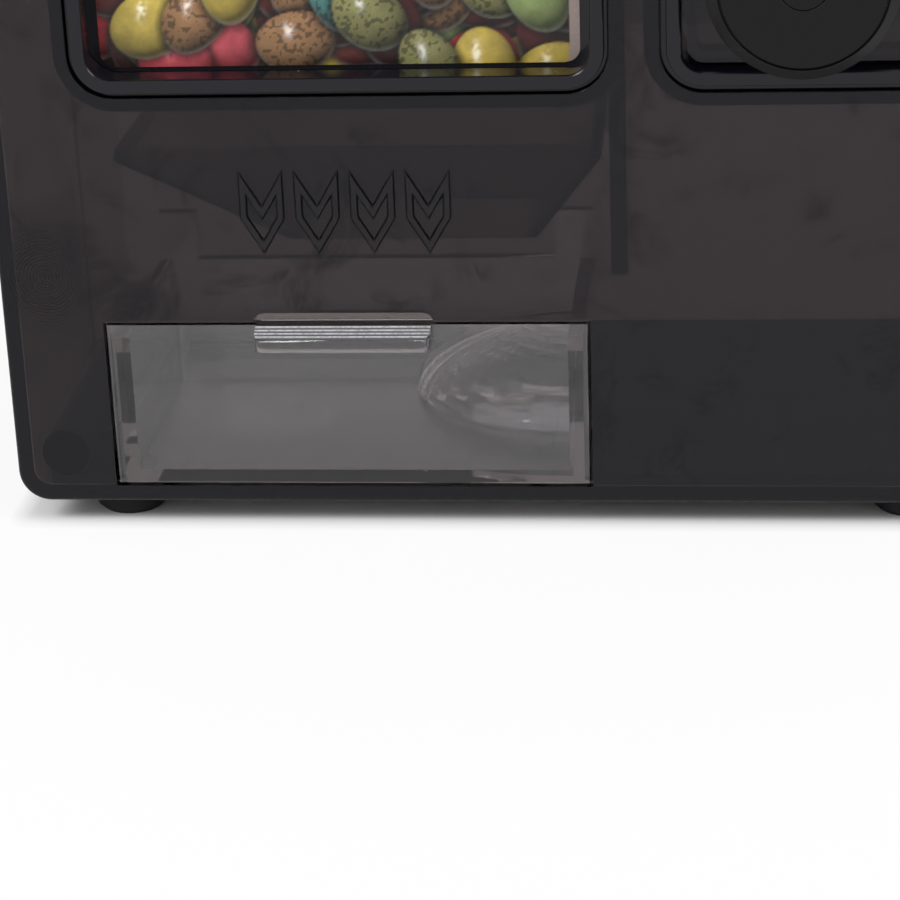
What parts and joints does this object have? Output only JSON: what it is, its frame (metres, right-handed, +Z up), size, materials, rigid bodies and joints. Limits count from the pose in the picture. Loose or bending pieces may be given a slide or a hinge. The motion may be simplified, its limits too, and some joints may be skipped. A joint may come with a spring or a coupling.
{
  "type": "candy dispenser",
  "caption": "Countertop candy dispenser: smoke-tinted housing with a turning knob, geared pocket rotor, funnel and clear pull-out drawer, under a clear hopper with a hinged lid.",
  "frame": {"origin": "centre of the bounding box on the table, under the feet", "axes": "+Z up, -Y towards the front with knob and drawer, +X to the knob's side"},
  "size_m": [0.173, 0.107, 0.2296],
  "materials": {
    "smoke_plastic": "glossy, smoke tinted, see-through",
    "clear_plastic": "glossy, clear",
    "black_gloss": "glossy black",
    "black_satin": "satin black",
    "white_nylon": "satin natural nylon",
    "print": "printed, laminated",
    "steel": "plain",
    "rubber": "matt",
    "silicone": "matt, translucent"
  },
  "bodies": {
    "housing_group": {"front_cover": "smoke_plastic", "rear_cover": "smoke_plastic", "base_tray": "black_satin", "window_bezel": "black_gloss", "picture_card": "print", "card_backing": "black_satin", "knob_bezel": "black_gloss", "knob_panel": "smoke_plastic", "divider": "smoke_plastic", "gear_plate": "smoke_plastic", "rotor_housing": "smoke_plastic", "chute_funnel": "smoke_plastic", "shaft_bushings": "white_nylon", "idler_pin": "steel", "idler_clip": "steel", "small_screws": "steel", "housing_screws": "steel", "rubber_feet": "rubber", "hopper_collar": "black_gloss", "hopper_tank": "clear_plastic", "hopper_floor": "black_satin", "tank_rim": "black_gloss", "hinge_pin": "steel", "lid_seal": "silicone"},
    "knob_group": {"knob": "black_satin", "knob_cap": "black_satin", "knob_screw": "steel", "drive_shaft": "steel", "drive_gear": "white_nylon", "drive_clip": "steel"},
    "idler_group": {"idler_gear": "white_nylon"},
    "rotor_group": {"rotor": "black_satin", "rotor_shaft": "steel", "rotor_gear": "white_nylon", "rotor_clip": "steel"},
    "drawer_group": {"drawer": "clear_plastic"},
    "lid_group": {"lid": "black_gloss"}
  },
  "joints": [
    {"name": "knob_turn", "type": "hinge", "parent": "housing_group", "child": "knob_group", "pos_m": [0.0488, -0.0395, 0.0971], "axis": [0, 1, 0], "continuous": true},
    {"name": "idler_turn", "type": "hinge", "parent": "housing_group", "child": "idler_group", "pos_m": [0.01755, 0.0205, 0.0971], "axis": [0, 1, 0], "continuous": true},
    {"name": "rotor_turn", "type": "hinge", "parent": "housing_group", "child": "rotor_group", "pos_m": [-0.0137, -0.0095, 0.0971], "axis": [0, 1, 0], "continuous": true},
    {"name": "drawer_slide", "type": "slide", "parent": "housing_group", "child": "drawer_group", "axis": [0, -1, 0], "range_m": [0, 0.042]},
    {"name": "lid_hinge", "type": "hinge", "parent": "housing_group", "child": "lid_group", "pos_m": [0, 0.0495, 0.2261], "axis": [-1, 0, 0], "range_deg": [0, 100]}
  ],
  "couplings": [
    {"joint": "idler_turn", "follows": "knob_turn", "ratio": -0.92308},
    {"joint": "rotor_turn", "follows": "knob_turn", "ratio": 1}
  ]
}
